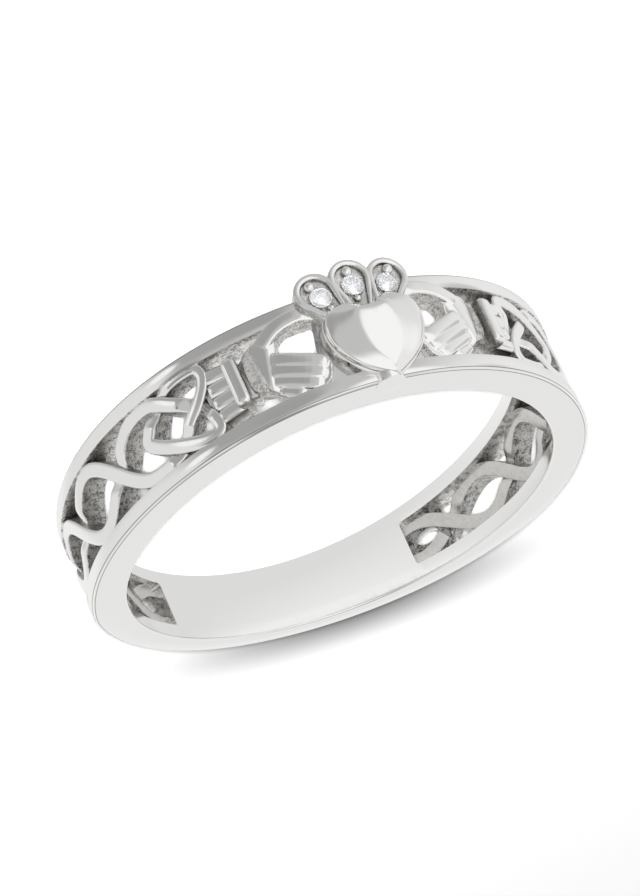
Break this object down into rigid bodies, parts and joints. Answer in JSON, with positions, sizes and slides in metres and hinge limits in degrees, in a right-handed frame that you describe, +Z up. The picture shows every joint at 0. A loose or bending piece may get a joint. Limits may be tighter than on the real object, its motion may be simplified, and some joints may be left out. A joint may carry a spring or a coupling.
{
  "type": "claddagh ring",
  "caption": "Cast band pierced with a braid between two rails, with two cuffed hands holding a heart under a crown of three petals, each set with a round stone.",
  "frame": {"origin": "centre of the finger hole, on its axis halfway between the rims", "axes": "the ring lies on its side as it rests by itself, on the crown's tip and the lower rim: +Z up, within 5 degrees of the hole's axis, -Y towards the heart, +X to the left as seen by someone who faces the heart with the crown on top"},
  "size_m": [0.02, 0.0207, 0.0053],
  "materials": {
    "silver": "polished, with sunk parts left as cast",
    "stone": "cut and polished"
  },
  "bodies": {
    "root": {"cast_ring": "silver", "stone_left": "stone", "stone_middle": "stone", "stone_right": "stone"}
  },
  "joints": []
}
